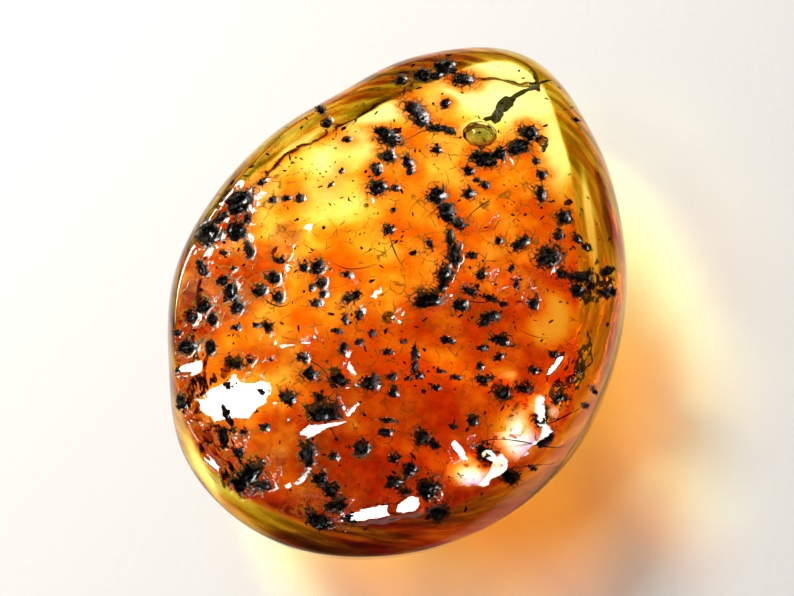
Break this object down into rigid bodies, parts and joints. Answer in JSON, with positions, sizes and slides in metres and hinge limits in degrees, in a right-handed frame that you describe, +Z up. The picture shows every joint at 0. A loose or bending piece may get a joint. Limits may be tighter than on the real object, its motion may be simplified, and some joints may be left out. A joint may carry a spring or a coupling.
{
  "type": "piece of amber",
  "caption": "Egg-shaped lump of see-through amber with a pitted, weathered upper face, ground sides and a flat polished underside it lies on.",
  "frame": {"origin": "on the flat underside, below the middle of the lump's bounding box", "axes": "+Z up; +Y along the longest way of the egg-shaped plan, towards its narrow end; +X to the right of that"},
  "size_m": [0.04, 0.0518, 0.0161],
  "materials": {
    "amber": "clear yellow fossil resin, polished on its sides and underside, with an orange to red-brown weathered skin on the upper face, index of refraction 1.54",
    "soil": "matte blackish-brown soil and decayed bark, packed in the pits and sealed in the resin",
    "plant_thread": "dark brown plant threads, rootlets and crack fillings in the skin",
    "bubble": "gas bubble or film sealed in the resin, brighter and mirror-like at its edge"
  },
  "bodies": {
    "root": {"amber": "amber"}
  },
  "joints": []
}
